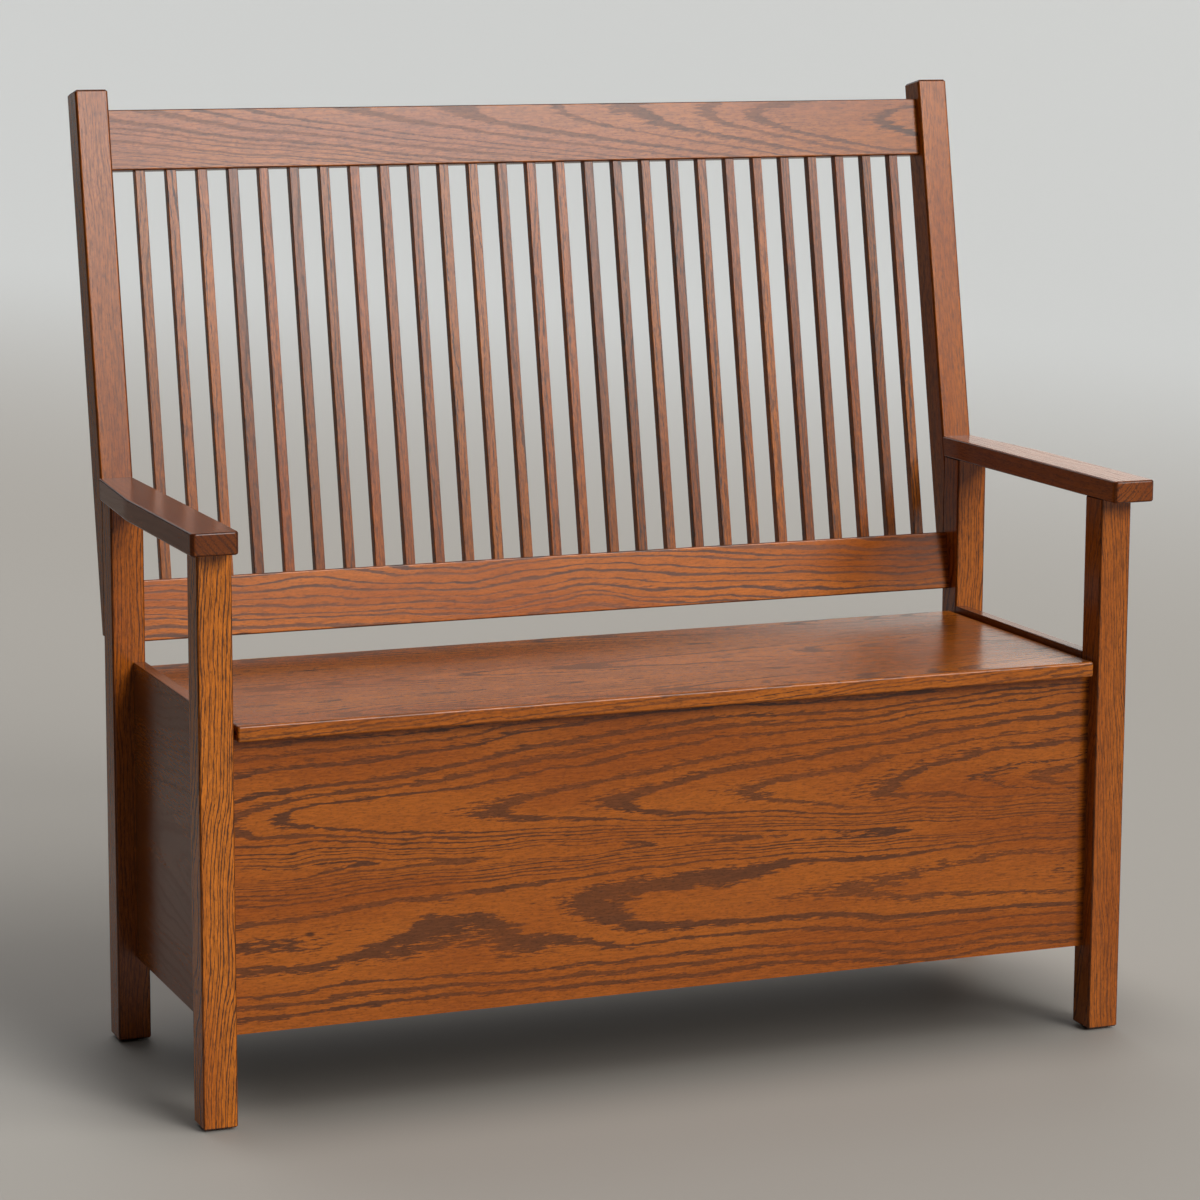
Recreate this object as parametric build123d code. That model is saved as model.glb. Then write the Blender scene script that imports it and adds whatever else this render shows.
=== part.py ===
from build123d import *
import os
from math import cos, radians, sin, tan

# A mission settle: a bench with a raked spindle back, flat arms and a storage
# chest under a hinged seat lid. All lengths are in millimetres.
# The origin is on the floor, in the middle of the overall box.
# X runs along the seat, Y to the rear and Z up. Left is -X.

# Frame
frame_width = 1190.0
leg_spacing = 380.0
leg_section = 41.275
edge_rounding = 3.0
foot_bevel = 2.0
leg_tenon_width = 20.0
leg_tenon_length = 15.0

# Foot glides under the ends of the legs
glide_height = 3.0
glide_radius = 12.0

# Arms
arm_underside = 673.5
arm_thickness = 27.0
arm_front_overhang = 30.5
arm_side_overhang = 14.6
arm_rear_overhang = 2.0
arm_straight_length = 285.0
arm_corner_rounding = 6.0
arm_taper_blend = 300.0

# Raked back
rake = 11.1
back_height = 1168.4
post_foot_height = 506.0
post_top_bevel = 2.5
rail_thickness = 19.05
rail_rounding = 2.0
rail_tenon_thickness = 9.525
rail_tenon_length = 15.0
rail_tenon_shoulder = 10.0
crest_drop = 23.9
crest_height = 75.0
lower_rail_gap = 28.2
lower_rail_height = 75.0

# Spindles, as many as leave a full gap or more beside each post
spindle_section = 12.7
spindle_pitch = 39.6875
spindle_bevel = 0.8
spindle_tenon_section = 9.525
spindle_tenon_length = 12.7

# Chest panels
panel_bottom_height = 106.6
front_panel_recess = 20.6
front_panel_thickness = 19.05
end_panel_thickness = 15.875
end_panel_top_height = 478.8
back_panel_setback = 7.5
back_panel_thickness = 19.05
panel_rounding = 1.5
tongue_thickness = 6.35
tongue_length = 4.5

# Chest floor and the strips that carry it and the lid
bottom_thickness = 12.7
bottom_gap = 0.8
cleat_width = 19.05
cleat_height = 19.05
ledger_thickness = 19.05
ledger_height = 38.1

# Seat lid
lid_top_height = 472.3
lid_thickness = 19.05
lid_setback = 1.0
lid_end_gap = 4.8
lid_rear_gap = 2.5
lid_rounding = 3.0
lid_rest_gap = 0.3

# Butt hinges, with the pin just under the top of the lid
hinge_length = 63.5
hinge_end_inset = 117.0
knuckle_count = 3
barrel_radius = 2.5
barrel_gap = 0.3
knuckle_gap = 0.3
pin_radius = 1.2
pin_clearance = 0.05
leaf_thickness = 1.2
leaf_edge_margin = 1.75

# Clearances and cuts
joint_clearance = 0.1
joint_relief = 1.0
overrun = 5.0

# Places that follow from the sizes above
rake_sin = sin(radians(rake))
rake_cos = cos(radians(rake))
post_rise = back_height - arm_underside
post_length = post_rise / rake_cos
post_reach = post_rise * tan(radians(rake)) + leg_section * rake_cos - post_top_bevel * rake_sin
overall_depth = arm_front_overhang + leg_spacing + leg_section + post_reach

outer_x = frame_width / 2
inner_x = outer_x - leg_section
leg_x = (inner_x, outer_x)
leg_centre_x = (inner_x + outer_x) / 2

arm_front_y = -overall_depth / 2
front_leg_y = (arm_front_y + arm_front_overhang, arm_front_y + arm_front_overhang + leg_section)
rear_leg_y = (front_leg_y[0] + leg_spacing, front_leg_y[1] + leg_spacing)
seam_y = rear_leg_y[1]
leg_z = (glide_height, arm_underside)

front_panel_front_y = front_leg_y[0] + front_panel_recess
front_panel_y = (front_panel_front_y, front_panel_front_y + front_panel_thickness)
back_panel_front_y = rear_leg_y[0] + back_panel_setback
back_panel_y = (back_panel_front_y, back_panel_front_y + back_panel_thickness)
end_panel_x = (inner_x, inner_x + end_panel_thickness)
end_panel_y = (front_leg_y[1], rear_leg_y[0])

lid_z = (lid_top_height - lid_thickness, lid_top_height)
lid_front_y = front_leg_y[0] + lid_setback
lid_y = (lid_front_y, back_panel_y[0] - lid_rear_gap)
lid_x = (-inner_x + lid_end_gap, inner_x - lid_end_gap)

# The hinge axis stands one barrel radius and a gap clear of the lid's rear edge
# and as far below its top, and the back panel's edge stops the same way below it.
leaf_offset = barrel_radius + barrel_gap
hinge_axis_y = lid_y[1] + leaf_offset
hinge_axis_z = lid_top_height - leaf_offset
hinge_end_x = lid_x[1] - hinge_end_inset - hinge_length / 2
hinge_centres_x = (-hinge_end_x, 0, hinge_end_x)
leaf_width = lid_thickness - leaf_offset - leaf_edge_margin

lid_rest_z = lid_z[0] - lid_rest_gap
front_panel_z = (panel_bottom_height, lid_rest_z)
end_panel_z = (panel_bottom_height, end_panel_top_height)
back_panel_z = (panel_bottom_height, hinge_axis_z - leaf_offset)

cleat_z = (panel_bottom_height, panel_bottom_height + cleat_height)
bottom_z = (cleat_z[1], cleat_z[1] + bottom_thickness)
chest_y = (front_panel_y[1], back_panel_y[0])
chest_x = (-inner_x, inner_x)

# Along the rake, heights count from the arm's underside at the post's front.
rail_y = ((leg_section - rail_thickness) / 2, (leg_section + rail_thickness) / 2)
rail_centre_y = leg_section / 2
crest_s = (post_length - crest_drop - crest_height, post_length - crest_drop)
# The lower rail's front bottom edge stands a named gap above the lid.
lower_rail_foot_z = lid_top_height + lower_rail_gap
lower_rail_foot_s = (lower_rail_foot_z - arm_underside + rail_y[0] * rake_sin) / rake_cos
lower_rail_s = (lower_rail_foot_s, lower_rail_foot_s + lower_rail_height)
spindle_s = (lower_rail_s[1], crest_s[0])
spindle_gap = spindle_pitch - spindle_section
spindle_room = 2 * inner_x - spindle_section - 2 * spindle_gap
spindle_count = int(spindle_room / spindle_pitch) + 1


# Helpers

def board(x_span, y_span, z_span):
    """A rectangular board between three pairs of planes."""
    spans = (x_span, y_span, z_span)
    size = [span[1] - span[0] for span in spans]
    centre = [(span[0] + span[1]) / 2 for span in spans]
    return Pos(*centre) * Box(*size)


def around(centre, width):
    """The span of a width about a centre."""
    return (centre - width / 2, centre + width / 2)


def grown(span, gap):
    """A span with the same gap added at both ends."""
    return (span[0] - gap, span[1] + gap)


def middle(span):
    return (span[0] + span[1]) / 2


def raked(shape):
    """Carries a shape drawn upright, with y = 0 as the post's front, to the back's rake."""
    return Location((0, seam_y, arm_underside), (-rake, 0, 0)) * shape


def on_side(shape, side):
    """Shapes are drawn on the right; the left one is its mirror image."""
    if side == "left":
        return mirror(shape, about=Plane.YZ)
    return shape


def rounded_along(shape, axis, radius):
    """Rounds every straight edge that runs along one axis."""
    return fillet(shape.edges().filter_by(axis), radius)


# Legs

def leg_blank(y_span):
    """A square leg, rounded along its edges, bevelled at the foot and tenoned for the arm."""
    leg = rounded_along(board(leg_x, y_span, leg_z), Axis.Z, edge_rounding)
    leg = chamfer(leg.faces().sort_by(Axis.Z)[0].edges(), foot_bevel)
    return leg + leg_tenon(y_span, 0)


def leg_tenon(y_span, gap):
    """The square tenon on a leg's top, grown by a gap to make its mortise in the arm."""
    width = leg_tenon_width + 2 * gap
    top = arm_underside + leg_tenon_length + (joint_relief if gap else 0)
    return board(around(leg_centre_x, width), around(middle(y_span), width), (arm_underside, top))


def groove_x(panel_span_y, z_span):
    """The stopped groove in a leg's inner face for a tongue that points along X."""
    depth_span = (inner_x - overrun, inner_x + tongue_length + joint_relief)
    width_span = grown(around(middle(panel_span_y), tongue_thickness), joint_clearance)
    return board(depth_span, width_span, grown(z_span, joint_clearance))


def groove_y(face_y, toward, z_span):
    """The stopped groove for an end panel's tongue, cut from a leg's face toward -Y or +Y."""
    ends = (face_y - toward * overrun, face_y + toward * (tongue_length + joint_relief))
    width_span = grown(around(middle(end_panel_x), tongue_thickness), joint_clearance)
    return board(width_span, (min(ends), max(ends)), grown(z_span, joint_clearance))


def front_leg():
    leg = leg_blank(front_leg_y)
    leg -= groove_x(front_panel_y, front_panel_z)
    leg -= groove_y(front_leg_y[1], -1, end_panel_z)
    return leg


def rear_leg():
    leg = leg_blank(rear_leg_y)
    leg -= groove_x(back_panel_y, back_panel_z)
    leg -= groove_y(rear_leg_y[0], 1, end_panel_z)
    leg -= raked(rail_tenon(lower_rail_s, joint_clearance))
    return leg


def foot_glides():
    """Four round glides, one under the middle of each leg."""
    glide = Cylinder(glide_radius, glide_height, align=(Align.CENTER, Align.CENTER, Align.MIN))
    centres_x = (-leg_centre_x, leg_centre_x)
    centres_y = (middle(front_leg_y), middle(rear_leg_y))
    return Compound(children=[Pos(x, y, 0) * glide for x in centres_x for y in centres_y])


# Arms

def arm():
    """A flat arm, straight inside, tapered outside toward the back, cut to the rake at the post."""
    arm_outer_x = outer_x + arm_side_overhang
    rear_outer_x = outer_x + arm_rear_overhang
    rear_y = seam_y + arm_thickness
    taper_start_y = arm_front_y + arm_straight_length
    outline = make_face(Polyline(
        (inner_x, arm_front_y),
        (arm_outer_x, arm_front_y),
        (arm_outer_x, taper_start_y),
        (rear_outer_x, seam_y),
        (rear_outer_x, rear_y),
        (inner_x, rear_y),
        close=True,
    ))
    corners = outline.vertices().sort_by(Axis.Y)
    outline = fillet(corners[0:2], arm_corner_rounding)
    taper_start = outline.vertices().sort_by_distance((arm_outer_x, taper_start_y))[0]
    outline = fillet(taper_start, arm_taper_blend)
    blank = Pos(0, 0, arm_underside) * extrude(outline, amount=arm_thickness)
    faces = blank.faces().filter_by(Axis.Z)
    long_edges = [edge for edge in faces.edges() if edge.center().Y < seam_y + overrun]
    blank = fillet(long_edges, edge_rounding)
    # The rear end is the post's front plane.
    behind = board(
        (inner_x - overrun, arm_outer_x + overrun),
        (0, leg_section + arm_thickness),
        (-leg_section, leg_section + arm_thickness),
    )
    blank -= raked(behind)
    blank -= leg_tenon(front_leg_y, joint_clearance)
    blank -= leg_tenon(rear_leg_y, joint_clearance)
    return blank


# Raked back

def rail_tenon(s_span, gap):
    """The tenon on a rail's right end; with a gap it is the mortise in the post and the leg."""
    end = inner_x + rail_tenon_length + (joint_relief if gap else 0)
    thickness_span = grown(around(rail_centre_y, rail_tenon_thickness), gap)
    height_span = (s_span[0] + rail_tenon_shoulder - gap, s_span[1] - rail_tenon_shoulder + gap)
    return board((inner_x - gap, end), thickness_span, height_span)


def back_post():
    """A raked post, square at the top, with a wedge-shaped foot that lies flat on the rear leg."""
    foot_s = -(arm_underside - post_foot_height) / rake_cos - overrun
    post = board(leg_x, (0, leg_section), (foot_s, post_length))
    post = rounded_along(post, Axis.Z, edge_rounding)
    post = chamfer(post.faces().sort_by(Axis.Z)[-1].edges(), post_top_bevel)
    for s_span in (crest_s, lower_rail_s):
        post -= rail_tenon(s_span, joint_clearance)
    post = raked(post)
    ahead_of_seam = board(
        grown(leg_x, overrun),
        (seam_y - leg_spacing, seam_y),
        (post_foot_height - leg_section, arm_underside),
    )
    below_foot = board(
        grown(leg_x, overrun),
        (seam_y - leg_section, seam_y + leg_section),
        (post_foot_height - leg_section, post_foot_height),
    )
    return post - ahead_of_seam - below_foot


def spindle_centres():
    first = -spindle_pitch * (spindle_count - 1) / 2
    return [first + number * spindle_pitch for number in range(spindle_count)]


def spindle_section_spans(centre_x, width):
    return around(centre_x, width), around(rail_centre_y, width)


def back_rail(s_span, mortise_face_s, into_rail):
    """A rail with a tenon at each end and a row of mortises for the spindles."""
    rail = rounded_along(board(chest_x, rail_y, s_span), Axis.X, rail_rounding)
    tenon = rail_tenon(s_span, 0)
    rail = rail + tenon + mirror(tenon, about=Plane.YZ)
    mortise_end_s = mortise_face_s + into_rail * (spindle_tenon_length + joint_relief)
    mortise_s = (min(mortise_face_s, mortise_end_s), max(mortise_face_s, mortise_end_s))
    mortises = []
    for centre_x in spindle_centres():
        x_span, y_span = spindle_section_spans(centre_x, spindle_tenon_section + 2 * joint_clearance)
        mortises.append(board(x_span, y_span, mortise_s))
    return raked(rail - mortises)


def spindle(centre_x):
    """A square spindle, its long edges eased, with a square tenon at each end."""
    x_span, y_span = spindle_section_spans(centre_x, spindle_section)
    stick = board(x_span, y_span, spindle_s)
    stick = chamfer(stick.edges().filter_by(Axis.Z), spindle_bevel)
    x_span, y_span = spindle_section_spans(centre_x, spindle_tenon_section)
    tenons = board(x_span, y_span, grown(spindle_s, spindle_tenon_length))
    return raked(stick + tenons)


# Chest

def panel_with_tongues(y_span, z_span):
    """A panel between two legs, with a tongue along each end."""
    panel = board(chest_x, y_span, z_span)
    tongue_y = around(middle(y_span), tongue_thickness)
    return panel + board(grown(chest_x, tongue_length), tongue_y, z_span)


def front_panel():
    return panel_with_tongues(front_panel_y, front_panel_z)


def back_panel():
    return panel_with_tongues(back_panel_y, back_panel_z)


def end_panel():
    """An end panel, flush inside with the legs, with its top edges eased."""
    panel = board(end_panel_x, end_panel_y, end_panel_z)
    panel = fillet(panel.faces().sort_by(Axis.Z)[-1].edges().filter_by(Axis.Y), panel_rounding)
    tongue_z = (end_panel_z[0], end_panel_z[1] - panel_rounding)
    tongue_x = around(middle(end_panel_x), tongue_thickness)
    return panel + board(tongue_x, grown(end_panel_y, tongue_length), tongue_z)


def bottom_cleat_front():
    return board(chest_x, (chest_y[0], chest_y[0] + cleat_width), cleat_z)


def bottom_cleat_rear():
    return board(chest_x, (chest_y[1] - cleat_width, chest_y[1]), cleat_z)


def bottom_cleat_end():
    return board((inner_x - cleat_width, inner_x), grown(chest_y, -cleat_width), cleat_z)


def bottom_panel():
    return board(grown(chest_x, -bottom_gap), grown(chest_y, -bottom_gap), bottom_z)


def lid_ledger():
    """The strip on the back panel that the lid's rear edge comes down on."""
    ledger_y = (chest_y[1] - ledger_thickness, chest_y[1])
    return board(chest_x, ledger_y, (lid_rest_z - ledger_height, lid_rest_z))


# Seat lid

def seat_lid():
    """A flat lid, rounded at the front and the ends and square along its hinged edge."""
    lid = board(lid_x, lid_y, lid_z)
    rear_face = lid.faces().sort_by(Axis.Y)[-1]
    rear_edges = rear_face.edges()
    rounded = [edge for edge in lid.edges() if edge not in rear_edges]
    return fillet(rounded, lid_rounding)


# Hinges, drawn with the pin along X through the hinge's own centre

def at_hinge(shape, centre_x):
    return Pos(centre_x, hinge_axis_y, hinge_axis_z) * shape


def knuckle_spans(first):
    """The lengths of every other knuckle, with half a knuckle gap taken off each end."""
    step = hinge_length / knuckle_count
    starts = [-hinge_length / 2 + number * step for number in range(first, knuckle_count, 2)]
    return [grown((start, start + step), -knuckle_gap / 2) for start in starts]


def barrel(x_span, radius):
    """A round bar about the pin's line."""
    bar = Cylinder(radius, x_span[1] - x_span[0])
    return Pos(middle(x_span), 0, 0) * Rot(0, 90, 0) * bar


def leaf(own_first, other_first):
    """A leaf below the pin, reaching to the rear, with every other knuckle of the barrel."""
    hinge_x = around(0, hinge_length)
    plate_z = (-leaf_offset, -leaf_offset + leaf_thickness)
    plate = board(hinge_x, (0, leaf_width), plate_z)
    for x_span in knuckle_spans(other_first):
        notch_x = grown(x_span, knuckle_gap)
        plate -= board(notch_x, (-leaf_offset, leaf_offset), grown(plate_z, overrun))
    for x_span in knuckle_spans(own_first):
        plate += barrel(x_span, barrel_radius)
    return plate - barrel(grown(hinge_x, overrun), pin_radius + pin_clearance)


def swung_down(shape):
    """Turns a leaf about the pin from the back panel's edge to the lid's rear edge."""
    return Rot(-90, 0, 0) * shape


def hinge_leaf_chest():
    return leaf(0, 1)


def hinge_leaf_lid():
    return swung_down(leaf(1, 0))


def hinge_pin():
    return barrel(around(0, hinge_length), pin_radius)


# The whole settle, node by node

def nodes():
    built = {}
    one_sided = {
        "leg_front": front_leg(),
        "leg_rear": rear_leg(),
        "arm": arm(),
        "back_post": back_post(),
        "end_panel": end_panel(),
        "bottom_cleat": bottom_cleat_end(),
    }
    for name, shape in one_sided.items():
        for side in ("left", "right"):
            built[f"{name}_{side}"] = on_side(shape, side)
    built["crest_rail"] = back_rail(crest_s, crest_s[0], 1)
    built["lower_back_rail"] = back_rail(lower_rail_s, lower_rail_s[1], -1)
    for number, centre_x in enumerate(spindle_centres(), start=1):
        built[f"spindle_{number:02d}"] = spindle(centre_x)
    built["front_panel"] = front_panel()
    built["back_panel"] = back_panel()
    built["bottom_cleat_front"] = bottom_cleat_front()
    built["bottom_cleat_rear"] = bottom_cleat_rear()
    built["bottom_panel"] = bottom_panel()
    built["lid_ledger"] = lid_ledger()
    built["seat_lid"] = seat_lid()
    for place, centre_x in zip(("left", "middle", "right"), hinge_centres_x):
        built[f"hinge_leaf_chest_{place}"] = at_hinge(hinge_leaf_chest(), centre_x)
        built[f"hinge_leaf_lid_{place}"] = at_hinge(hinge_leaf_lid(), centre_x)
        built[f"hinge_pin_{place}"] = at_hinge(hinge_pin(), centre_x)
    built["foot_glides"] = foot_glides()
    return built


os.makedirs("parts", exist_ok=True)
for name, shape in nodes().items():
    export_step(shape, f"parts/{name}.step")
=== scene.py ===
import math
import random

import bmesh
import bpy
from mathutils import Matrix, Vector


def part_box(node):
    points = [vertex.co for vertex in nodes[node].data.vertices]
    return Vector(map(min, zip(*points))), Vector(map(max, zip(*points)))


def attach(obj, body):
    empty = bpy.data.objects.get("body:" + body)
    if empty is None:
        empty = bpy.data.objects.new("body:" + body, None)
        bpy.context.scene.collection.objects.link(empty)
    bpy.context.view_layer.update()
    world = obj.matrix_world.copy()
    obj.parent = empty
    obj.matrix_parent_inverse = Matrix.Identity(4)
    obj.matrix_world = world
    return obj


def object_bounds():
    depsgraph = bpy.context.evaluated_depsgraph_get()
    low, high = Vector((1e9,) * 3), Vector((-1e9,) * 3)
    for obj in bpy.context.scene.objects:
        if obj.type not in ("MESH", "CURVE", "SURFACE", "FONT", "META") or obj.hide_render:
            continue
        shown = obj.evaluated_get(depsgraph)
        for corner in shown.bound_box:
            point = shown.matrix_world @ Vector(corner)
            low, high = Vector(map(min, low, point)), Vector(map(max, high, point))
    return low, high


# Looks of a mission settle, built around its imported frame.
# Lengths are in metres, X runs along the seat, Y to the rear and Z up.

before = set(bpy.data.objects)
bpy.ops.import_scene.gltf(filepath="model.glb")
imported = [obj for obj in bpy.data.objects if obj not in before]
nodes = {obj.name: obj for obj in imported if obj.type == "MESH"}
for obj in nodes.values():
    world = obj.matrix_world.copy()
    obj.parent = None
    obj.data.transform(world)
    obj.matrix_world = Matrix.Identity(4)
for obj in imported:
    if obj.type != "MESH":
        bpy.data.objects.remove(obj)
cad_low, cad_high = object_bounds()
scene = bpy.context.scene
scene.view_settings.view_transform = "Standard"
scene.view_settings.look = "None"

BACK_RAKE = math.radians(11.1)

# Camera, worked out from the photograph's vanishing directions and edges
PHOTO_SIZE = 1200.0
FOCAL_LENGTH_PX = 3714.9
PRINCIPAL_X_PX = 545.0
PRINCIPAL_Y_PX = 552.8
SENSOR_WIDTH_MM = 36.0
CAMERA_YAW = math.radians(-21.14)
CAMERA_PITCH = math.radians(9.25)
CAMERA_ROLL = math.radians(0.12)
CAMERA_DISTANCE = 4.5254
CAMERA_TARGET = Vector((-0.096, -0.0517, 0.6131))

# Two soft boxes, as azimuth from the front toward +X, elevation and width across in degrees
KEY_BOX = {"azimuth": 46.0, "elevation": 42.0, "angle": 44.0, "strength": 1.35,
           "colour": (1.0, 0.965, 0.91)}
FRONT_BOX = {"azimuth": 20.5, "elevation": 28.0, "angle": 26.0, "strength": 2.45,
             "colour": (0.985, 0.985, 0.985)}

# The studio round the object: dim, with a pale wall's light from the rear right
BACKDROP_COLOUR = (0.60, 0.62, 0.62, 1.0)
STUDIO_DIM = (0.020, 0.020, 0.021, 1.0)
STUDIO_REAR = (0.085, 0.087, 0.09, 1.0)
STUDIO_WALL = (1.46, 1.40, 1.30, 1.0)
STUDIO_CEILING = (0.26, 0.264, 0.27, 1.0)
STUDIO_REAR_BOX = (1.50, 1.50, 1.50, 1.0)
REAR_BOX_DIRECTION = (-0.05, 0.74, 0.67)
WALL_DIRECTION = (0.707, 0.707, 0.0)
# Where each light of the studio starts and is full, as a direction's share toward it
STUDIO_REAR_RAMP = (0.40, 0.80)
STUDIO_WALL_RAMP = (0.905, 0.955)
STUDIO_CEILING_RAMP = (0.25, 1.0)
STUDIO_REAR_BOX_RAMP = (0.82, 0.97)

# The floor: paler far behind, with a painted shadow under the chest and painted shade to its left
FLOOR_REACH = 2000.0
FLOOR_ROUGHNESS = 0.7
FLOOR_COLOUR = (0.375, 0.353, 0.32, 1.0)
FLOOR_FAR_COLOUR = (0.60, 0.615, 0.61, 1.0)
FLOOR_PALER_TOWARD = (0.85, 0.53, 0.0)
FLOOR_PALER_FROM = 2.2
FLOOR_PALER_TO = 8.0
# Painted shade on the floor to the left of the chest
FLOOR_PAINTED_SHADE_TOWARD = (-0.99, 0.12, 0.0)
FLOOR_PAINTED_SHADE_FROM = 0.7
FLOOR_PAINTED_SHADE_TO = 1.6
FLOOR_PAINTED_SHADE_FADES = 6.0
FLOOR_PAINTED_SHADE_ENDS = 14.0
FLOOR_PAINTED_SHADE_COLOUR = (0.33, 0.29, 0.26, 1.0)
FLOOR_PAINTED_SHADE_SEEN = 0.3
# Painted shadow under the chest
FLOOR_PAINTED_SHADOW = (0.20, 0.19, 0.18, 1.0)
FLOOR_PAINTED_SHADOW_SOFTNESS = 0.16

# Oak, stained a medium reddish brown under a satin lacquer
OAK_GOLD = (0.385, 0.111, 0.008)
OAK_RED = (0.265, 0.060, 0.006)
OAK_BAND = (0.084, 0.027, 0.009)
OAK_PORE = (0.035, 0.011, 0.004)
DEEPER_SHARES = (0.70, 0.58, 0.50)
DEEPER_RAMP = (0.30, 0.70)
DEEPER_MOST = 0.75
END_GRAIN_SHADE = (0.52, 0.46, 0.46, 1.0)
END_GRAIN_MOST = 0.75
# Painted shade on the rounded edges
PAINTED_EDGE_SHADE = (0.42, 0.38, 0.38, 1.0)
OAK_ROUGHNESS = (0.27, 0.22)
OAK_SPECULAR = 0.29
OAK_BUMP = {"Strength": 0.10, "Distance": 0.0003}
BUMP_OF_FIBRE = 0.3
BUMP_OF_LATE_WOOD = 0.2

# Noise: how many cells a metre holds along the grain, across the face and into it
FIBRES = {"stretch": (50.0, 450.0, 450.0), "detail": 3.0, "roughness": 0.7}
PORES = {"stretch": (170.0, 640.0, 640.0), "roughness": 0.6}
PATCHES = {"stretch": (3.0, 16.0, 16.0)}
WARP = {"stretch": (5.0, 7.0, 7.0)}
RAGGED = {"stretch": (34.0, 300.0, 300.0), "detail": 3.0, "roughness": 0.65}
# How far one step of the seed moves the noise, in cells
SEED_STEP = (3.71, 1.93, 5.17)
# Noise keeps near the middle of its range, so waves are drawn this much stronger
WAVE_GAIN = 4.0

# A ring starts with its dark band; widths are shares of the ring
BAND_WIDTH = 0.15
BAND_WIDTH_SPREAD = 0.24
BAND_START_FADE = (0.96, 1.0)
BAND_END_FADE = (-0.06, 0.09)
BAND_FAINTER = 0.4
BAND_IN_PATCHES = (0.35, 0.65, 0.65, 1.0)
FEATHER_GROWS = (0.0, 0.35)
YEAR_SCALE = 0.63
YEAR_SPREAD = 1.6

# Fibres, pores and knots
STREAK_RAMP = (0.25, 0.75)
STREAK_DARKER = 0.24
STREAK_LIGHTER = 0.20
PORE_RAMP = (0.52, 0.66)
PORE_MOST = 0.5
PORE_IN_BANDS = (0.0, 0.8, 0.7, 1.0)
KNOT_RAGGED = 0.8
KNOT_FADE = (0.75, 1.5)
KNOT_MOST = 0.85

# How squarely a face looks along the grain to be end grain, and how skew a rounded edge is to take painted
# shade
END_FACE = (0.55, 0.95)
ROUNDED_EDGE_PAINTED_SHADE = (0.88, 0.965)

# Inner wood, brass and black plastic
INNER_WOOD_DARK = (0.34, 0.20, 0.10, 1.0)
INNER_WOOD_LIGHT = (0.50, 0.33, 0.18, 1.0)
INNER_WOOD_ROUGHNESS = 0.62
INNER_GRAIN = {"stretch": (4.0, 90.0, 90.0), "detail": 3.0}
INNER_GRAIN_RAMP = (0.35, 0.65)
INNER_FIBRES = {"stretch": (20.0, 800.0, 800.0)}
INNER_STREAK_RAMP = (0.3, 0.7, 0.85, 1.12)
INNER_BUMP = {"Strength": 0.25, "Distance": 0.0004}
BRASS_BRIGHT = (0.60, 0.42, 0.16, 1.0)
BRASS_TARNISHED = (0.30, 0.19, 0.075, 1.0)
TARNISH = {"stretch": (60.0, 60.0, 60.0), "detail": 4.0, "roughness": 0.6}
TARNISH_RAMP = (0.4, 0.7)
BRUSHED = {"stretch": (40.0, 2600.0, 2600.0)}
BRASS_ROUGHNESS_RAMP = (0.35, 0.7, 0.26, 0.48)
BRASS_BUMP = {"Strength": 0.10, "Distance": 0.0002}
GLIDE_DARK = (0.010, 0.010, 0.010, 1.0)
GLIDE_LIGHT = (0.028, 0.027, 0.026, 1.0)
GLIDE_ROUGHNESS = 0.55
GLIDE_GRAIN = {"stretch": (900.0, 900.0, 900.0)}
GLIDE_BUMP = {"Strength": 0.2, "Distance": 0.0002}

# Hinge screws
SCREW_HEAD_RADIUS = 0.0027
SCREW_HEAD_RISE = 0.0005
SCREW_SLOT_WIDTH = 0.0007
SCREW_SLOT_DEPTH = 0.00035
SCREW_SPACING = 0.0215
SCREW_RINGS = 6
SCREW_SECTORS = 32
SCREW_REACH = 1.5 * SCREW_HEAD_RADIUS
# Only points between the slot's sides are lowered, not those on them
SCREW_SLOT_INSIDE = 0.99
# How far the slots are turned: all, from screw to screw, and per metre along the seat
SCREW_TURN = 0.5
SCREW_TURN_STEP = 1.3
SCREW_TURN_ALONG = 7
HINGE_LEAF_THICKNESS = 0.0012
HINGE_SCREW_INSET = 0.0062

SPINDLE_COUNT = 27
SPINDLE_DRAW_SEED = 12


# Camera

def camera_axes():
    """The camera's right, up and forward directions."""
    forward = Vector((
        -math.sin(CAMERA_YAW) * math.cos(CAMERA_PITCH),
        math.cos(CAMERA_YAW) * math.cos(CAMERA_PITCH),
        -math.sin(CAMERA_PITCH),
    ))
    level_right = Vector((math.cos(CAMERA_YAW), math.sin(CAMERA_YAW), 0.0))
    level_up = level_right.cross(forward)
    right = math.cos(CAMERA_ROLL) * level_right + math.sin(CAMERA_ROLL) * level_up
    return right, right.cross(forward), forward


def make_camera():
    right, up, forward = camera_axes()
    data = bpy.data.cameras.new("camera")
    data.sensor_width = SENSOR_WIDTH_MM
    data.lens = FOCAL_LENGTH_PX / PHOTO_SIZE * SENSOR_WIDTH_MM
    data.shift_x = 0.5 - PRINCIPAL_X_PX / PHOTO_SIZE
    data.shift_y = PRINCIPAL_Y_PX / PHOTO_SIZE - 0.5
    camera = bpy.data.objects.new("camera", data)
    turn = Matrix((right, up, -forward)).transposed()
    place = CAMERA_TARGET - forward * CAMERA_DISTANCE
    camera.matrix_world = Matrix.Translation(place) @ turn.to_4x4()
    scene.collection.objects.link(camera)
    scene.camera = camera


# Node trees

def add_node(tree, kind, inputs=None, **settings):
    """A node with its settings; an input is a value or another node's output."""
    made = tree.nodes.new(kind)
    for name, value in settings.items():
        setattr(made, name, value)
    for place, value in (inputs or {}).items():
        if isinstance(value, bpy.types.NodeSocket):
            tree.links.new(value, made.inputs[place])
        else:
            made.inputs[place].default_value = value
    return made


def calculate(tree, operation, *values):
    """The result of one Math node."""
    return add_node(tree, "ShaderNodeMath", dict(enumerate(values)), operation=operation).outputs[0]


def sum_of(tree, terms):
    total = terms[0]
    for term in terms[1:]:
        total = calculate(tree, "ADD", total, term)
    return total


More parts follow.
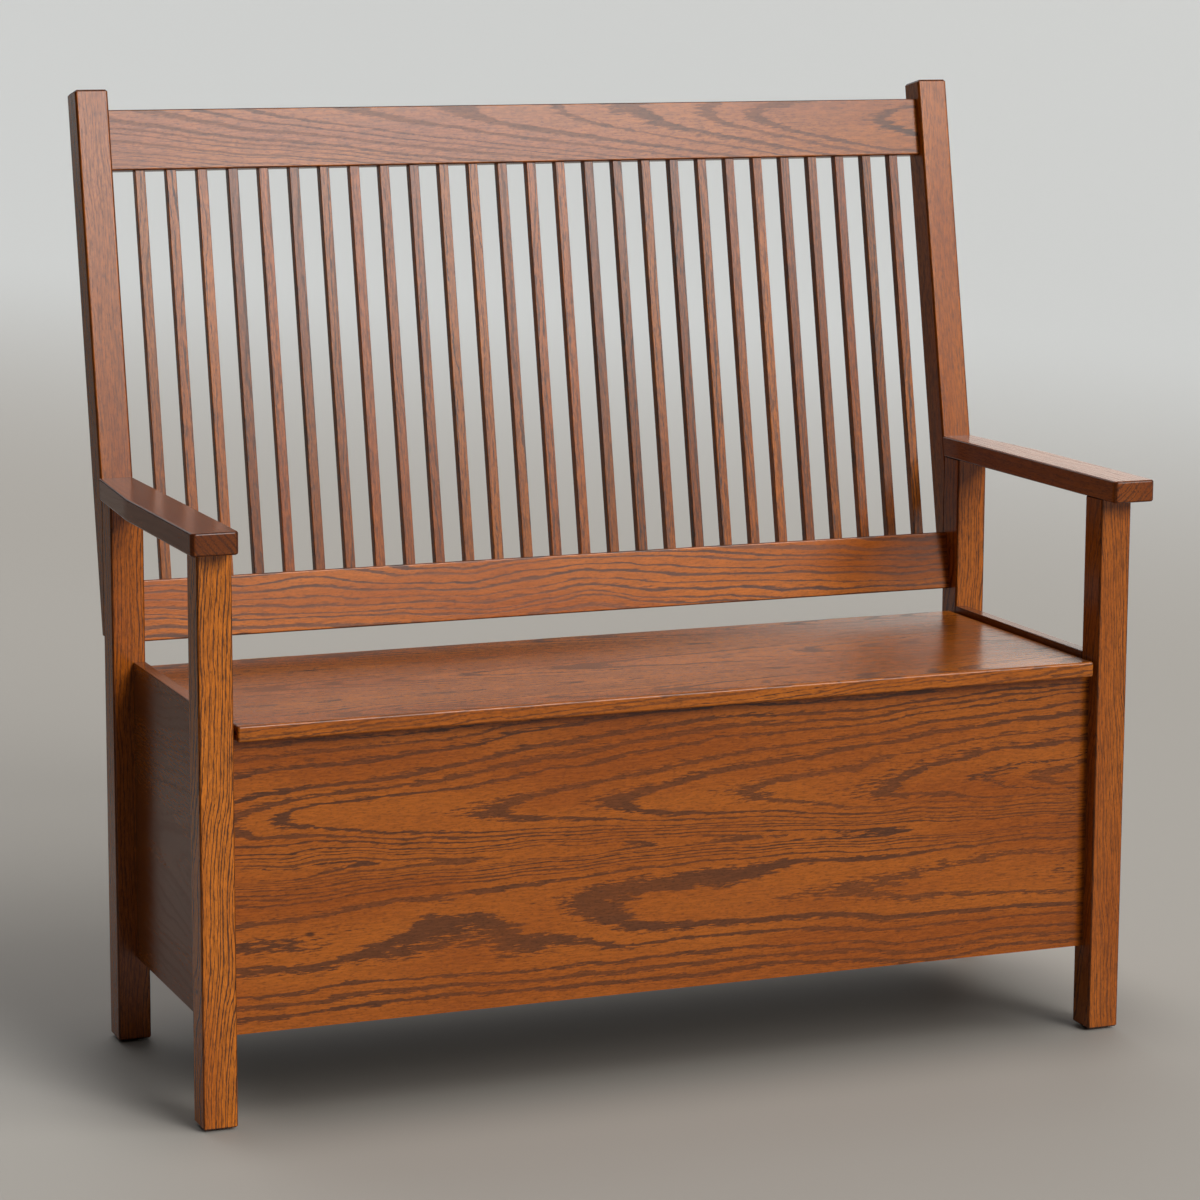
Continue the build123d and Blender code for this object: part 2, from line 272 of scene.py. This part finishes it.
def ramp_between(tree, value, start, end, low=0.0, high=1.0):
    """Goes smoothly from low to high as the value goes from start to end."""
    inputs = {"Value": value, "From Min": start, "From Max": end, "To Min": low, "To Max": high}
    made = add_node(tree, "ShaderNodeMapRange", inputs, interpolation_type="SMOOTHSTEP")
    return made.outputs["Result"]


def noise(tree, vector, stretch, seed, detail=2.0, roughness=0.5):
    """Noise with its own scale along each axis, from 0 to 1 about 0.5."""
    inputs = {0: vector, 1: stretch, 2: [seed * step for step in SEED_STEP]}
    placed = add_node(tree, "ShaderNodeVectorMath", inputs, operation="MULTIPLY_ADD")
    inputs = {"Vector": placed.outputs[0], "Scale": 1.0, "Detail": detail, "Roughness": roughness}
    return add_node(tree, "ShaderNodeTexNoise", inputs).outputs[0]


def mixed(tree, factor, first, second, blend="MIX"):
    """Two colours mixed by a factor."""
    inputs = {"Factor": factor, "A": first, "B": second}
    made = tree.nodes.new("ShaderNodeMix")
    made.data_type = "RGBA"
    made.blend_type = blend
    for name, value in inputs.items():
        socket = next(s for s in made.inputs if s.name == name and s.enabled)
        if isinstance(value, bpy.types.NodeSocket):
            tree.links.new(value, socket)
        else:
            socket.default_value = value
    return next(s for s in made.outputs if s.enabled)


def shaded(tree, factor, colour, shade):
    """A colour, multiplied by a shade as far as the factor says."""
    return mixed(tree, factor, colour, mixed(tree, 1.0, colour, shade, "MULTIPLY"))


def share_toward(tree, vector, direction):
    """The dot product of a vector and a direction."""
    return add_node(tree, "ShaderNodeVectorMath", {0: vector, 1: direction},
                    operation="DOT_PRODUCT").outputs["Value"]


def new_material(name):
    """An empty material with its output node."""
    material = bpy.data.materials.new(name)
    material.use_nodes = True
    material.node_tree.nodes.clear()
    return material, material.node_tree


def finish_material(tree, shader):
    add_node(tree, "ShaderNodeOutputMaterial", {"Surface": shader.outputs[0]})


# Oak

FIGURE = {
    "profile": None,    # rings counted across the face, as points of a curve
    "across": 0.0,      # or the rings per metre across the face
    "depth": 150.0,     # rings per metre into the face
    "along": 0.0,       # rings per metre along the grain, or points of a curve across the face
    "swells": (),       # places along and across, their half lengths, and the rings they add
    "knots": (),        # places along and across of pin knots, and their half lengths
    "tilt": 0.0,        # how far across the figure's axis falls over its length
    "warp": 0.008,      # metres that the grain waves by
    "wander": 0.4,      # rings that the grain wanders by
    "wander_scale": (3.0, 12.0, 12.0),
    "ragged": 0.7,      # rings that a band's edge is ragged by
    "feather": 1.2,     # rings that a band's soft side runs out in streaks by
    "contrast": 1.0,    # how much of the dark bands shows
    "end_bands": 1.0,   # how much more of the bands shows on end grain
    # edges: how much painted shade darkens the rounded edges
    "edges": 1.0,       # how much darker the rounded edges are
    "streak": 1.0,      # how much of the fibres shows
    "redness": 0.5,
    "value": 1.0,
    "seed": 0.0,
}


def figure(**changes):
    return {**FIGURE, **changes}


def grain_turn(grain, face):
    """Turns texture axes so that X runs along the grain and Y across the face."""
    return Matrix((grain, face, grain.cross(face))).transposed()


LEAN_UP = Vector((0.0, math.sin(BACK_RAKE), math.cos(BACK_RAKE)))
AXIS_X = Vector((1.0, 0.0, 0.0))
AXIS_Y = Vector((0.0, 1.0, 0.0))
AXIS_Z = Vector((0.0, 0.0, 1.0))


def curve(tree, value, points):
    """A smooth curve through points, read at a value."""
    xs, ys = zip(*points)
    made = tree.nodes.new("ShaderNodeFloatCurve")
    drawn = made.mapping.curves[0].points
    width = max(xs) - min(xs)
    height = max(ys) - min(ys)
    shares = [((x - min(xs)) / width, (y - min(ys)) / height) for x, y in points]
    for place, share in zip((drawn[0], drawn[-1]), (shares[0], shares[-1])):
        place.location = share
    for share in shares[1:-1]:
        drawn.new(*share)
    made.mapping.update()
    spot = add_node(tree, "ShaderNodeMapRange", {"Value": value, "From Min": min(xs), "From Max": max(xs)})
    tree.links.new(spot.outputs["Result"], made.inputs["Value"])
    return calculate(tree, "MULTIPLY_ADD", made.outputs[0], height, min(ys))


def reach_of(tree, vector, place_along, place_across, half_along, half_across):
    """Zero at a place on a board's face, and one on an ellipse round it."""
    offset = add_node(tree, "ShaderNodeVectorMath", {
        0: vector,
        1: (1 / half_along, 1 / half_across, 0.0),
        2: (-place_along / half_along, -place_across / half_across, 0.0),
    }, operation="MULTIPLY_ADD").outputs[0]
    return add_node(tree, "ShaderNodeVectorMath", {0: offset}, operation="LENGTH").outputs["Value"]


def ring_field(tree, vector, figure_of):
    """The number of growth rings from a fixed one, at each point of a board."""
    along, straight, depth = add_node(tree, "ShaderNodeSeparateXYZ", {0: vector}).outputs[0:3]
    seed = figure_of["seed"]
    warp = noise(tree, vector, seed=seed + 5, **WARP)
    warp_gain = WAVE_GAIN * figure_of["warp"]
    across = calculate(tree, "MULTIPLY_ADD", warp, warp_gain, straight)
    across = calculate(tree, "SUBTRACT", across, warp_gain / 2)
    across = calculate(tree, "MULTIPLY_ADD", along, figure_of["tilt"], across)
    if figure_of["profile"]:
        over_face = curve(tree, across, figure_of["profile"])
    else:
        over_face = calculate(tree, "MULTIPLY", across, figure_of["across"])
    slope = figure_of["along"]
    if not isinstance(slope, float):
        slope = curve(tree, across, slope)
    wander = noise(tree, vector, figure_of["wander_scale"], seed)
    ragged = noise(tree, vector, seed=seed + 1, **RAGGED)
    terms = [
        over_face,
        calculate(tree, "MULTIPLY", along, slope),
        calculate(tree, "MULTIPLY", depth, figure_of["depth"]),
        calculate(tree, "MULTIPLY", wander, WAVE_GAIN * figure_of["wander"]),
        calculate(tree, "MULTIPLY", ragged, figure_of["ragged"]),
    ]
    for *ellipse, rings in figure_of["swells"]:
        reach = reach_of(tree, vector, *ellipse)
        terms.append(ramp_between(tree, reach, 0.0, 1.0, rings, 0.0))
    field = sum_of(tree, terms)
    # Wet and dry years: rings of uneven width
    years = add_node(tree, "ShaderNodeTexNoise", {"W": field, "Scale": YEAR_SCALE, "Detail": 1.0},
                     noise_dimensions="1D").outputs[0]
    return calculate(tree, "MULTIPLY_ADD", years, YEAR_SPREAD, field)


def growth_rings(tree, board, fibre, figure_of):
    """The share of smooth late wood, and how strongly its ring's band is drawn."""
    field = ring_field(tree, board, figure_of)
    step = calculate(tree, "FRACT", field)
    ring = calculate(tree, "ADD", calculate(tree, "FLOOR", field), figure_of["seed"])
    ring_draw = add_node(tree, "ShaderNodeTexWhiteNoise", {"W": ring},
                         noise_dimensions="1D").outputs["Value"]
    feather = calculate(tree, "MULTIPLY_ADD", fibre, figure_of["feather"], -0.5 * figure_of["feather"])
    feather = calculate(tree, "MULTIPLY", feather, ramp_between(tree, step, *FEATHER_GROWS))
    band_end = calculate(tree, "MULTIPLY_ADD", ring_draw, BAND_WIDTH_SPREAD, BAND_WIDTH)
    past_band = calculate(tree, "SUBTRACT", calculate(tree, "ADD", step, feather), band_end)
    before_next = ramp_between(tree, step, *BAND_START_FADE, 1.0, 0.0)
    late_wood = calculate(tree, "MULTIPLY", ramp_between(tree, past_band, *BAND_END_FADE), before_next)
    contrast = figure_of["contrast"]
    strength = calculate(tree, "MULTIPLY_ADD", ring_draw, -BAND_FAINTER * contrast, contrast)
    return late_wood, strength


def stained_wood(tree, patches, bands, fibre, figure_of):
    """The colour of the wood with its bands and fibres."""
    red = figure_of["redness"]
    value = figure_of["value"]
    light = [((1 - red) * g + red * r) * value for g, r in zip(OAK_GOLD, OAK_RED)]
    band = [c * value for c in OAK_BAND]
    deeper = [c * share for c, share in zip(light, DEEPER_SHARES)]
    depth = ramp_between(tree, patches, *DEEPER_RAMP, DEEPER_MOST, 0.0)
    colour = mixed(tree, depth, (*light, 1.0), (*deeper, 1.0))
    colour = mixed(tree, bands, colour, (*band, 1.0))
    darkest = 1 - STREAK_DARKER * figure_of["streak"]
    lightest = 1 + STREAK_LIGHTER * figure_of["streak"]
    streak = ramp_between(tree, fibre, *STREAK_RAMP, darkest, lightest)
    return add_node(tree, "ShaderNodeHueSaturation", {"Color": colour, "Value": streak}).outputs[0]


def oak(name, origin, turn, figure_of):
    """Ring-porous oak: dark bands that start sharply and feather out along the grain."""
    material, tree = new_material(name)
    place = add_node(tree, "ShaderNodeTexCoord").outputs
    board = add_node(tree, "ShaderNodeMapping", {
        "Vector": place["Object"],
        "Location": origin,
        "Rotation": turn.to_euler(),
    }, vector_type="TEXTURE").outputs[0]
    seed = figure_of["seed"]
    fibre = noise(tree, board, seed=seed + 2, **FIBRES)
    pores = noise(tree, board, seed=seed + 3, **PORES)
    patches = noise(tree, board, seed=seed + 4, **PATCHES)
    facing_along, facing_across, facing_out = [
        calculate(tree, "ABSOLUTE", share_toward(tree, place["Normal"], turn @ axis))
        for axis in (AXIS_X, AXIS_Y, AXIS_Z)
    ]
    end_face = ramp_between(tree, facing_along, *END_FACE)

    late_wood, strength = growth_rings(tree, board, fibre, figure_of)
    bands = calculate(tree, "MULTIPLY", calculate(tree, "SUBTRACT", 1.0, late_wood), strength)
    bands = calculate(tree, "MULTIPLY", bands, ramp_between(tree, patches, *BAND_IN_PATCHES))
    end_bands = calculate(tree, "MULTIPLY_ADD", end_face, figure_of["end_bands"], 1.0)
    bands = calculate(tree, "MULTIPLY", bands, end_bands)
    pore = calculate(tree, "MULTIPLY", ramp_between(tree, pores, *PORE_RAMP), PORE_MOST)
    pore = calculate(tree, "MULTIPLY", pore, ramp_between(tree, bands, *PORE_IN_BANDS))

    colour = stained_wood(tree, patches, bands, fibre, figure_of)
    colour = mixed(tree, pore, colour, (*OAK_PORE, 1.0))
    for ellipse in figure_of["knots"]:
        reach = calculate(tree, "MULTIPLY_ADD", fibre, KNOT_RAGGED, reach_of(tree, board, *ellipse))
        knot = ramp_between(tree, reach, *KNOT_FADE, KNOT_MOST, 0.0)
        colour = mixed(tree, knot, colour, (*OAK_PORE, 1.0))
    colour = shaded(tree, calculate(tree, "MULTIPLY", end_face, END_GRAIN_MOST), colour, END_GRAIN_SHADE)
    # Painted shade: the rounded edges are darkened as if shade fell on them
    squareness = calculate(tree, "MAXIMUM", facing_along,
                           calculate(tree, "MAXIMUM", facing_across, facing_out))
    edge_painted_shade = ramp_between(tree, squareness, *ROUNDED_EDGE_PAINTED_SHADE, figure_of["edges"], 0.0)
    colour = shaded(tree, edge_painted_shade, colour, PAINTED_EDGE_SHADE)

    height = calculate(tree, "MULTIPLY_ADD", fibre, BUMP_OF_FIBRE,
                       calculate(tree, "MULTIPLY", late_wood, BUMP_OF_LATE_WOOD))
    height = calculate(tree, "SUBTRACT", height, pore)
    bump = add_node(tree, "ShaderNodeBump", {"Height": height, **OAK_BUMP})
    shader = add_node(tree, "ShaderNodeBsdfPrincipled", {
        "Base Color": colour,
        "Roughness": ramp_between(tree, late_wood, 0.0, 1.0, *OAK_ROUGHNESS),
        "Specular IOR Level": OAK_SPECULAR,
        "Normal": bump.outputs[0],
    })
    finish_material(tree, shader)
    return material


def box_middle(node):
    low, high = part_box(node)
    return (low + high) / 2


def dress(node, material):
    """Gives a carried-over node one material in place of its own."""
    slots = nodes[node].material_slots
    for slot in slots:
        slot.material = material


def oak_board(node, grain, face, **changes):
    """Dresses a node in oak whose grain runs along one axis, seen on a face that another crosses."""
    turn = grain_turn(grain, face)
    dress(node, oak("oak_" + node, box_middle(node), turn, figure(**changes)))


# Rings across a face, from the bottom or the front, as height and ring
FRONT_PANEL_RINGS = (
    (-0.173, 5.6), (-0.150, 3.9), (-0.125, 2.2), (-0.105, 1.0), (-0.092, 0.4), (-0.077, 0.0),
    (-0.060, 0.2),
    (-0.045, 0.7), (-0.030, 1.5), (-0.018, 3.0), (-0.006, 5.6), (0.004, 7.4), (0.012, 6.6), (0.022, 4.2),
    (0.034, 1.9), (0.046, 0.6), (0.058, 0.2), (0.070, 0.4), (0.086, 1.1), (0.105, 2.1), (0.140, 4.4),
    (0.173, 7.2),
)
FRONT_PANEL_SLOPES = (
    (-0.173, 0.5), (-0.100, -1.0), (-0.020, -3.5), (0.030, -6.3), (0.090, -6.3), (0.173, -4.0),
)
FRONT_PANEL_SWELLS = (
    (-0.23, -0.077, 0.28, 0.05, 1.6), (0.02, -0.05, 0.2, 0.03, 0.5), (-0.42, 0.085, 0.2, 0.04, -0.7),
)
FRONT_PANEL_KNOTS = ((-0.4595, -0.0628, 0.0080, 0.0038),)
CREST_RINGS = (
    (-0.066, 11.1), (-0.050, 7.9), (-0.035, 5.3), (-0.020, 3.3), (-0.005, 1.7), (0.008, 0.8), (0.020, 0.23),
    (0.0345, 0.0), (0.045, 0.12), (0.055, 0.46), (0.066, 1.1),
)
LOWER_RAIL_SWELLS = ((0.06, 0.0, 0.16, 0.2, -1.6), (0.45, 0.02, 0.4, 0.05, 0.8))
LID_RINGS = (
    (-0.192, 1.2), (-0.170, 0.0), (-0.150, 0.9), (-0.120, 4.6), (-0.100, 9.0), (-0.090, 10.0),
    (-0.080, 8.8),
    (-0.050, 3.4), (-0.020, 0.6), (0.005, 0.0), (0.030, 1.0), (0.060, 4.2), (0.085, 8.5), (0.095, 9.6),
    (0.105, 8.6), (0.130, 4.6), (0.160, 1.2), (0.175, 0.5), (0.192, 0.9),
)
END_PANEL_RINGS = (
    (-0.187, 10.0), (-0.140, 6.5), (-0.090, 3.0), (-0.050, 1.0), (-0.010, 0.0), (0.040, 1.2), (0.090, 4.0),
    (0.140, 7.5), (0.187, 11.0),
)


def dress_oak():
    """Each piece of oak has its own cut of wood."""
    oak_board("front_panel", AXIS_X, AXIS_Z, profile=FRONT_PANEL_RINGS, along=FRONT_PANEL_SLOPES,
              swells=FRONT_PANEL_SWELLS, knots=FRONT_PANEL_KNOTS, tilt=0.015, ragged=0.65,
              contrast=1.2, redness=0.54, value=0.94, seed=3.0)
    oak_board("back_panel", AXIS_X, AXIS_Z, profile=END_PANEL_RINGS, along=7.0, wander=1.2, redness=0.5,
              seed=11.0)
    oak_board("crest_rail", AXIS_X, LEAN_UP, profile=CREST_RINGS, along=-8.5, tilt=0.05, warp=0.004,
              ragged=0.4, feather=0.6, streak=1.3, redness=0.30, value=0.85, seed=5.0)
    oak_board("lower_back_rail", AXIS_X, LEAN_UP, across=112.0, along=3.0, swells=LOWER_RAIL_SWELLS,
              warp=0.006, wander=0.7, wander_scale=(6.0, 20.0, 20.0), ragged=0.4, feather=0.6,
              contrast=1.35, redness=0.35, value=1.18, seed=7.0)
    oak_board("seat_lid", AXIS_X, AXIS_Y, profile=LID_RINGS, along=-9.0, wander=0.7, warp=0.006,
              contrast=1.2, edges=0.0, redness=0.15, value=1.02, seed=9.0)
    for side, sign in (("left", -1), ("right", 1)):
        oak_board("leg_front_" + side, AXIS_Z, AXIS_X, across=250.0, depth=90.0 * sign, along=14.0 * sign,
                  wander=1.0, feather=0.8, contrast=1.35 if side == "left" else 1.0,
                  streak=1.5 if side == "left" else 1.3, redness=0.10 if side == "left" else 0.5,
                  value=1.15 if side == "left" else 1.0, seed=20.0 + sign)
        oak_board("leg_rear_" + side, AXIS_Z, AXIS_X, across=230.0, depth=-110.0 * sign, feather=0.8,
                  contrast=1.0, streak=1.4, wander=1.0, redness=0.55 if side == "left" else 0.45,
                  seed=24.0 + sign)
        oak_board("back_post_" + side, LEAN_UP, AXIS_X, across=260.0, depth=80.0 * sign,
                  wander=1.4, ragged=1.2, contrast=0.55, streak=1.5,
                  redness=0.5 if side == "left" else 0.35,
                  value=0.85 if side == "left" else 1.0, seed=28.0 + sign)
        oak_board("arm_" + side, AXIS_Y, AXIS_X, across=130.0, depth=120.0 * sign, wander=1.0,
                  feather=0.7, contrast=0.35, end_bands=2.0, redness=0.6,
                  value=0.70 if side == "left" else 1.0, seed=32.0 + sign)
        oak_board("end_panel_" + side, AXIS_Y, AXIS_Z, profile=END_PANEL_RINGS, along=7.0, wander=0.8,
                  contrast=0.14, redness=0.6, value=0.68, seed=36.0 + sign)
    draw = random.Random(SPINDLE_DRAW_SEED)
    for number in range(1, SPINDLE_COUNT + 1):
        oak_board(f"spindle_{number:02d}", LEAN_UP, AXIS_X, across=draw.uniform(110.0, 300.0),
                  depth=draw.uniform(-250.0, 250.0), wander=draw.uniform(0.8, 1.8), ragged=0.8,
                  contrast=draw.uniform(0.75, 1.35), edges=0.0, redness=draw.uniform(0.10, 0.65),
                  streak=1.9, value=draw.uniform(0.54, 0.90), seed=50.0 + number)


# Unfinished secondary wood inside the chest

def plain_wood(name, grain_axis, face_axis, seed):
    material, tree = new_material(name)
    turn = grain_turn(grain_axis, face_axis)
    place = add_node(tree, "ShaderNodeTexCoord").outputs
    board = add_node(tree, "ShaderNodeMapping", {
        "Vector": place["Object"],
        "Rotation": turn.to_euler(),
    }, vector_type="TEXTURE").outputs[0]
    grain = noise(tree, board, seed=seed, **INNER_GRAIN)
    fibre = noise(tree, board, seed=seed + 1, **INNER_FIBRES)
    paler = ramp_between(tree, grain, *INNER_GRAIN_RAMP)
    colour = mixed(tree, paler, INNER_WOOD_DARK, INNER_WOOD_LIGHT)
    streak = ramp_between(tree, fibre, *INNER_STREAK_RAMP)
    colour = add_node(tree, "ShaderNodeHueSaturation", {"Color": colour, "Value": streak}).outputs[0]
    bump = add_node(tree, "ShaderNodeBump", {"Height": fibre, **INNER_BUMP})
    shader = add_node(tree, "ShaderNodeBsdfPrincipled", {
        "Base Color": colour,
        "Roughness": INNER_WOOD_ROUGHNESS,
        "Normal": bump.outputs[0],
    })
    finish_material(tree, shader)
    return material


def dress_inside():
    dress("bottom_panel", plain_wood("inner_wood_bottom", AXIS_X, AXIS_Y, 2.0))
    lengthwise = plain_wood("inner_wood_long", AXIS_X, AXIS_Z, 5.0)
    crosswise = plain_wood("inner_wood_short", AXIS_Y, AXIS_Z, 8.0)
    for node in ("lid_ledger", "bottom_cleat_front", "bottom_cleat_rear"):
        dress(node, lengthwise)
    for node in ("bottom_cleat_left", "bottom_cleat_right"):
        dress(node, crosswise)


# Hinges, screws and glides

def hinge_brass():
    material, tree = new_material("hinge_brass")
    place = add_node(tree, "ShaderNodeTexCoord").outputs["Object"]
    tarnish = noise(tree, place, seed=1.0, **TARNISH)
    brushed = noise(tree, place, seed=2.0, **BRUSHED)
    colour = mixed(tree, ramp_between(tree, tarnish, *TARNISH_RAMP), BRASS_BRIGHT, BRASS_TARNISHED)
    bump = add_node(tree, "ShaderNodeBump", {"Height": brushed, **BRASS_BUMP})
    shader = add_node(tree, "ShaderNodeBsdfPrincipled", {
        "Base Color": colour,
        "Metallic": 1.0,
        "Roughness": ramp_between(tree, tarnish, *BRASS_ROUGHNESS_RAMP),
        "Normal": bump.outputs[0],
    })
    finish_material(tree, shader)
    return material


def glide_plastic():
    material, tree = new_material("glide_plastic")
    place = add_node(tree, "ShaderNodeTexCoord").outputs["Object"]
    grain = noise(tree, place, seed=4.0, **GLIDE_GRAIN)
    colour = mixed(tree, grain, GLIDE_DARK, GLIDE_LIGHT)
    bump = add_node(tree, "ShaderNodeBump", {"Height": grain, **GLIDE_BUMP})
    shader = add_node(tree, "ShaderNodeBsdfPrincipled", {
        "Base Color": colour,
        "Roughness": GLIDE_ROUGHNESS,
        "Normal": bump.outputs[0],
    })
    finish_material(tree, shader)
    return material


def screw_head(mesh, centre, across, outward):
    """Adds an oval screw head with a straight slot, facing outward."""
    side = outward.cross(across)
    slot_half = SCREW_SLOT_WIDTH / 2
    rows = []
    for ring in range(1, SCREW_RINGS + 1):
        share = ring / SCREW_RINGS
        row = []
        for sector in range(SCREW_SECTORS):
            angle = 2 * math.pi * sector / SCREW_SECTORS
            a = SCREW_HEAD_RADIUS * share * math.cos(angle)
            b = SCREW_HEAD_RADIUS * share * math.sin(angle)
            rise = SCREW_HEAD_RISE * math.sqrt(max(0.0, 1 - share ** 2))
            row.append(mesh.verts.new(centre + across * a + side * b + outward * rise))
        rows.append(row)
    for inner, outer in zip(rows, rows[1:]):
        for sector in range(SCREW_SECTORS):
            after = (sector + 1) % SCREW_SECTORS
            mesh.faces.new((inner[sector], outer[sector], outer[after], inner[after]))
    mesh.faces.new(rows[0])
    for plane_offset in (-slot_half, slot_half):
        live = [v for v in mesh.verts if (v.co - centre).length < SCREW_REACH]
        edges = list({e for v in live for e in v.link_edges})
        near = list({f for v in live for f in v.link_faces})
        bmesh.ops.bisect_plane(mesh, geom=live + edges + near, plane_co=centre + side * plane_offset,
                               plane_no=side)
    for vert in mesh.verts:
        offset = vert.co - centre
        if offset.length < SCREW_REACH and abs(offset.dot(side)) < slot_half * SCREW_SLOT_INSIDE:
            vert.co -= outward * SCREW_SLOT_DEPTH


def hinge_screws(name, leaf, body, outward, brass):
    """Three screw heads on the plate of a hinge leaf."""
    low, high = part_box(leaf)
    middle = (low + high) / 2
    mesh = bmesh.new()
    for step in (-1, 0, 1):
        centre = Vector((middle.x + step * SCREW_SPACING, 0.0, 0.0))
        if body == "chest":
            centre.y = high.y - HINGE_SCREW_INSET
            centre.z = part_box("back_panel")[1].z + HINGE_LEAF_THICKNESS
        else:
            centre.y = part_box("seat_lid")[1].y + HINGE_LEAF_THICKNESS
            centre.z = low.z + HINGE_SCREW_INSET
        angle = SCREW_TURN + SCREW_TURN_STEP * step + middle.x * SCREW_TURN_ALONG
        turn = Matrix.Rotation(angle, 3, outward)
        screw_head(mesh, centre, turn @ AXIS_X, outward)
    data = bpy.data.meshes.new(name)
    mesh.to_mesh(data)
    mesh.free()
    for polygon in data.polygons:
        polygon.use_smooth = True
    screws = bpy.data.objects.new(name, data)
    scene.collection.objects.link(screws)
    data.materials.append(brass)
    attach(screws, body)


def dress_hardware():
    brass = hinge_brass()
    for place in ("left", "middle", "right"):
        dress("hinge_leaf_chest_" + place, brass)
        dress("hinge_leaf_lid_" + place, brass)
        dress("hinge_pin_" + place, brass)
        hinge_screws("hinge_screws_chest_" + place, "hinge_leaf_chest_" + place, "chest", AXIS_Z, brass)
        hinge_screws("hinge_screws_lid_" + place, "hinge_leaf_lid_" + place, "lid", AXIS_Y, brass)
    dress("foot_glides", glide_plastic())


# Floor and light

def painted_shadow_under_bench(tree, place):
    """The painted shadow's mask: one below the chest, fading to zero round it."""
    low = Vector((cad_low[0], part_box("leg_front_left")[0].y, 0.0))
    high = Vector((cad_high[0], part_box("leg_rear_left")[1].y, 0.0))
    middle = (low + high) / 2
    half = high - middle
    offset = add_node(tree, "ShaderNodeVectorMath", {0: place, 1: middle}, operation="SUBTRACT").outputs[0]
    offset = add_node(tree, "ShaderNodeVectorMath", {0: offset}, operation="ABSOLUTE").outputs[0]
    over_x, over_y = add_node(tree, "ShaderNodeSeparateXYZ", {0: offset}).outputs[0:2]
    inside_x, inside_y = [
        ramp_between(tree, over, reach - FLOOR_PAINTED_SHADOW_SOFTNESS, reach + FLOOR_PAINTED_SHADOW_SOFTNESS, 1.0, 0.0)
        for over, reach in ((over_x, half.x), (over_y, half.y))
    ]
    return calculate(tree, "MULTIPLY", inside_x, inside_y)


def make_floor():
    mesh = bmesh.new()
    bmesh.ops.create_grid(mesh, x_segments=1, y_segments=1, size=FLOOR_REACH)
    data = bpy.data.meshes.new("floor")
    mesh.to_mesh(data)
    mesh.free()
    floor = bpy.data.objects.new("floor", data)
    scene.collection.objects.link(floor)
    material, tree = new_material("floor")
    place = add_node(tree, "ShaderNodeTexCoord").outputs["Object"]
    away = share_toward(tree, place, FLOOR_PALER_TOWARD)
    paler = ramp_between(tree, away, FLOOR_PALER_FROM, FLOOR_PALER_TO)
    colour = mixed(tree, paler, FLOOR_COLOUR, FLOOR_FAR_COLOUR)
    # Painted shade to the left of the chest, where shade falls
    aside = share_toward(tree, place, FLOOR_PAINTED_SHADE_TOWARD)
    painted_shade = calculate(tree, "MULTIPLY", ramp_between(tree, aside, FLOOR_PAINTED_SHADE_FROM, FLOOR_PAINTED_SHADE_TO),
                       ramp_between(tree, aside, FLOOR_PAINTED_SHADE_FADES, FLOOR_PAINTED_SHADE_ENDS, 1.0, 0.0))
    # The painted shade is mostly for reflections: seen directly the floor stays plain
    seen = add_node(tree, "ShaderNodeLightPath").outputs["Is Camera Ray"]
    painted_shade = calculate(tree, "MULTIPLY", painted_shade,
                       calculate(tree, "MULTIPLY_ADD", seen, FLOOR_PAINTED_SHADE_SEEN - 1.0, 1.0))
    colour = shaded(tree, painted_shade, colour, FLOOR_PAINTED_SHADE_COLOUR)
    # Painted shadow under the chest, where its shade falls on the floor
    colour = shaded(tree, painted_shadow_under_bench(tree, place), colour, FLOOR_PAINTED_SHADOW)
    inputs = {"Base Color": colour, "Roughness": FLOOR_ROUGHNESS}
    shader = add_node(tree, "ShaderNodeBsdfPrincipled", inputs)
    finish_material(tree, shader)
    data.materials.append(material)


def make_soft_box(name, azimuth, elevation, angle, strength, colour):
    azimuth = math.radians(azimuth)
    elevation = math.radians(elevation)
    toward = Vector((
        math.sin(azimuth) * math.cos(elevation),
        -math.cos(azimuth) * math.cos(elevation),
        math.sin(elevation),
    ))
    data = bpy.data.lights.new(name, "SUN")
    data.energy = strength
    data.angle = math.radians(angle)
    data.color = colour
    box = bpy.data.objects.new(name, data)
    box.rotation_euler = toward.to_track_quat("Z", "Y").to_euler()
    box.location = toward * CAMERA_DISTANCE
    scene.collection.objects.link(box)


def make_world():
    """Pale behind the object for the camera, and a soft studio's light for the surfaces."""
    world = bpy.data.worlds.new("studio")
    world.use_nodes = True
    tree = world.node_tree
    tree.nodes.clear()
    direction = add_node(tree, "ShaderNodeTexCoord").outputs["Generated"]
    wallward = share_toward(tree, direction, WALL_DIRECTION)
    upward = add_node(tree, "ShaderNodeSeparateXYZ", {0: direction}).outputs[2]
    light = mixed(tree, ramp_between(tree, wallward, *STUDIO_REAR_RAMP), STUDIO_DIM, STUDIO_REAR)
    light = mixed(tree, ramp_between(tree, wallward, *STUDIO_WALL_RAMP), light, STUDIO_WALL)
    light = mixed(tree, ramp_between(tree, upward, *STUDIO_CEILING_RAMP), light, STUDIO_CEILING)
    rearward = share_toward(tree, direction, REAR_BOX_DIRECTION)
    light = mixed(tree, ramp_between(tree, rearward, *STUDIO_REAR_BOX_RAMP), light, STUDIO_REAR_BOX)
    seen = add_node(tree, "ShaderNodeLightPath").outputs["Is Camera Ray"]
    colour = mixed(tree, seen, light, BACKDROP_COLOUR)
    background = add_node(tree, "ShaderNodeBackground", {"Color": colour, "Strength": 1.0})
    add_node(tree, "ShaderNodeOutputWorld", {"Surface": background.outputs[0]})
    scene.world = world


make_camera()
make_soft_box("key_box", **KEY_BOX)
make_soft_box("front_box", **FRONT_BOX)
make_world()
make_floor()
dress_oak()
dress_inside()
dress_hardware()
